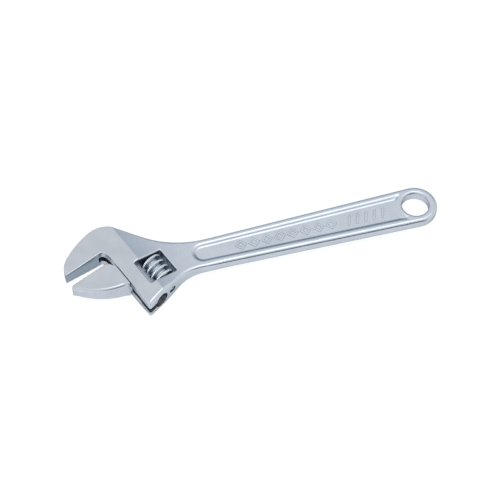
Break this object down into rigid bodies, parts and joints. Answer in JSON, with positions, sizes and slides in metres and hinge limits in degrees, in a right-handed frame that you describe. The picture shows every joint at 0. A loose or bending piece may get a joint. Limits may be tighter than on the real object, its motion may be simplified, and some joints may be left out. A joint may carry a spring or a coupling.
{
  "type": "adjustable wrench",
  "caption": "Open-end wrench with one fixed jaw and one sliding jaw that a thumb-turned knurl moves, on a flat recessed handle with a hanging hole.",
  "frame": {"origin": "centre of the hanging hole at mid thickness", "axes": "+X along the handle from the head to the hanging hole, +Z along the hanging hole's axis, out of the broad face that shows the fixed jaw on the +Y side"},
  "size_m": [0.2499, 0.0675, 0.017],
  "materials": {
    "forged_body": "satin chrome plate over a drop forging, ground smooth on the head faces",
    "forged_jaw": "satin chrome plate, ground smooth on the faces",
    "knurl_steel": "bright plated, machined thread with a knurled crest",
    "pin_steel": "turned, lightly oiled",
    "spring_steel": "dark spring wire"
  },
  "bodies": {
    "handle": {"wrench_body": "forged_body", "knurl_pin": "pin_steel", "knurl_spring": "spring_steel"},
    "sliding_jaw": {"movable_jaw": "forged_jaw"},
    "knurl": {"knurl": "knurl_steel"}
  },
  "joints": [
    {"name": "knurl_turn", "type": "hinge", "parent": "handle", "child": "knurl", "pos_m": [-0.177, -0.00384, 0], "axis": [0.3527, -0.9358, 0], "range_deg": [-1605, 641]},
    {"name": "jaw_slide", "type": "slide", "parent": "handle", "child": "sliding_jaw", "axis": [0.3527, -0.9358, 0], "range_m": [-0.00856, 0.02141]}
  ],
  "couplings": [
    {"joint": "jaw_slide", "follows": "knurl_turn", "m_per_rad": -0.00076394}
  ]
}
